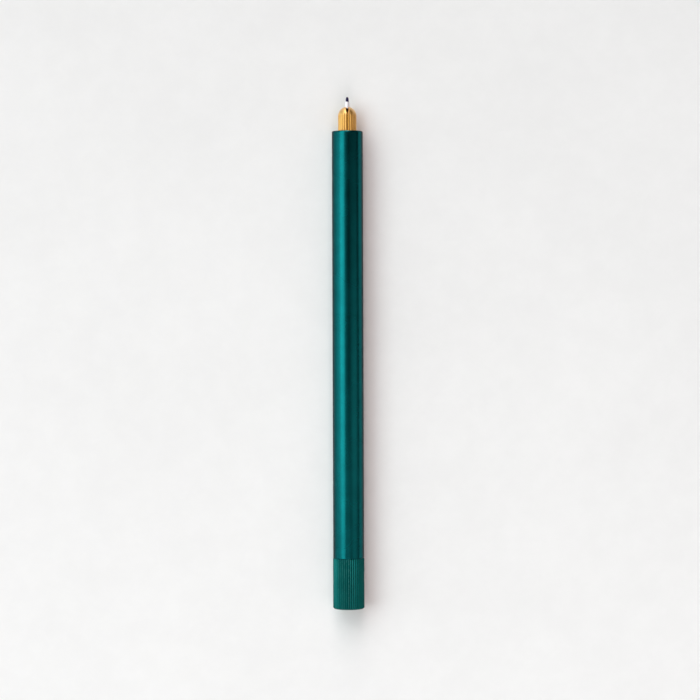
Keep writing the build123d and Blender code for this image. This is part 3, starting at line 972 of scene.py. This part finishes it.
def cut_box(piece, lowest, highest, broken_edge):
    """Cuts a box out of a piece, breaks the cut's edges, and keeps the outcome as its mesh."""
    form = bmesh.new()
    size = highest - lowest
    place = Matrix.Translation((lowest + highest) / 2) @ Matrix.Diagonal((*size, 1))
    bmesh.ops.create_cube(form, size=1.0, matrix=place)
    cutter_mesh = bpy.data.meshes.new("cutter")
    form.to_mesh(cutter_mesh)
    form.free()
    cutter = make_object("cutter", cutter_mesh)
    cut = piece.modifiers.new("slot", "BOOLEAN")
    cut.operation = "DIFFERENCE"
    cut.solver = "EXACT"
    cut.object = cutter
    broken = piece.modifiers.new("broken_edges", "BEVEL")
    broken.width = broken_edge
    broken.segments = 2
    broken.limit_method = "ANGLE"
    broken.angle_limit = math.radians(50)
    bpy.context.view_layer.update()
    seen = piece.evaluated_get(bpy.context.evaluated_depsgraph_get())
    mesh = bpy.data.meshes.new_from_object(seen)
    piece.modifiers.clear()
    old = piece.data
    piece.data = mesh
    bpy.data.meshes.remove(old)
    bpy.data.objects.remove(cutter)
    bpy.data.meshes.remove(cutter_mesh)


cut_box(
    plug,
    Vector((-plug_slot_width / 2, plug_rear - slot_overrun, middle.z - 2 * plug_radius)),
    Vector((plug_slot_width / 2, plug_rear + plug_slot_depth, middle.z + 2 * plug_radius)),
    slot_edge,
)
plug.data.shade_smooth()
plug.data.set_sharp_from_angle(angle=math.radians(38.0))
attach(plug, "end_plug")
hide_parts("end_plug")

# ---------------------------------------------------------------- Return spring
# A coil of hard drawn wire between the knob's spigot and the draw tube's collar.
# Its end turns are closed up flat.
wire_radius = 0.2 * MM
open_turns = 7.5
closed_turns = 1.0
steps_per_turn = 40
wire_sides = 12


def coiled(name, rear, front, coil_radius):
    """A spring of round wire along the pencil, with its end turns lying against each other."""
    turns = open_turns + 2 * closed_turns
    steps = int(turns * steps_per_turn)
    closed_rise = 2 * wire_radius
    open_rise = (front - rear - 2 * wire_radius - 2 * closed_turns * closed_rise) / open_turns
    place = rear + wire_radius
    form = bmesh.new()
    rings = []
    for step in range(steps + 1):
        turn = step / steps_per_turn
        angle = 2 * math.pi * turn
        outward = Vector((math.sin(angle), 0, math.cos(angle)))
        centre = outward * coil_radius + Vector((0, place, middle.z))
        ring = []
        for side in range(wire_sides):
            lean = 2 * math.pi * side / wire_sides
            off = outward * math.cos(lean) + Vector((0, 1, 0)) * math.sin(lean)
            ring.append(form.verts.new(centre + off * wire_radius))
        rings.append(ring)
        closed = turn < closed_turns or turn >= turns - closed_turns
        place += (closed_rise if closed else open_rise) / steps_per_turn
    for ring, following in zip(rings, rings[1:]):
        for side in range(wire_sides):
            after = (side + 1) % wire_sides
            form.faces.new((ring[side], ring[after], following[after], following[side]))
    form.faces.new(rings[0])
    form.faces.new(list(reversed(rings[-1])))
    return finished_mesh(name, form, sharp=40.0)


spring_rear, spring_front, spring_radius = reach_of("return_spring")
spring_wire = bright_steel("spring_wire", (0.38, 0.38, 0.41), 0.28)
spring_mesh = coiled("coil_spring", spring_rear, spring_front, spring_radius - wire_radius)
spring = make_object("coil_spring", spring_mesh, spring_wire)
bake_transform(spring)
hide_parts("return_spring")

# ---------------------------------------------------------------- Inside pieces
# The turned bushes, collar, nut, tube and pin keep their made shape and get their metal's finish.
# The moulded nylon washer and the rubber rings are matt, with a fine grain from their moulds.


def moulded(name, tone, bloom, roughness, grain, depth):
    """Moulded nylon or rubber: an even matt skin, its tone lifted in patches by bloom."""
    material, tree, shader, where = bare_material(name)
    edge = use_group(tree, edges_and_hollows, Position=where, Start=0.54, End=0.66)
    patches = noise(tree, where, 500.0, 4.0, 0.65)
    skin = noise(tree, where, grain, 3.0, 0.6)
    shade = blended(tree, spread(tree, patches, 0.4, 0.75), tone, bloom)
    # Edges lifted to the bloom tone, partly a painted highlight.
    shade = blended(tree, times(tree, edge["Wear_and_highlight"], 0.4), shade, bloom)
    sheen = spread(tree, skin, 0.3, 0.7, roughness - 0.08, roughness + 0.08)
    finish_surface(tree, shader, shade, sheen, skin, depth)
    return material


def refinish(names, material):
    """Gives pieces that keep their made shape their material."""
    for name in names:
        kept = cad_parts[name].data
        kept.materials.clear()
        kept.materials.append(material)


inner_brass = turned_brass("inner_brass", (0.70, 0.43, 0.15), (0.58, 0.33, 0.11), rings=40.0, roughness=0.3)
inner_steel = bright_steel("inner_steel", (0.55, 0.55, 0.56), 0.32)
white_nylon = moulded("white_nylon", (0.72, 0.70, 0.64), (0.80, 0.79, 0.75), 0.45, 6000.0, 0.002 * MM)
black_rubber = moulded(
    "black_rubber", (0.012, 0.012, 0.013), (0.035, 0.034, 0.033), 0.6, 9000.0, 0.003 * MM
)
refinish(("guide_bush", "rear_bush", "collet_shank", "spring_collar", "knob_nut"), inner_brass)
refinish(("draw_tube", "anti_rotation_pin"), inner_steel)
refinish(("retaining_ring",), spring_wire)
refinish(("spare_leads",), lead_graphite)
refinish(("thrust_washer",), white_nylon)
refinish(("friction_o_ring", "plug_gasket"), black_rubber)
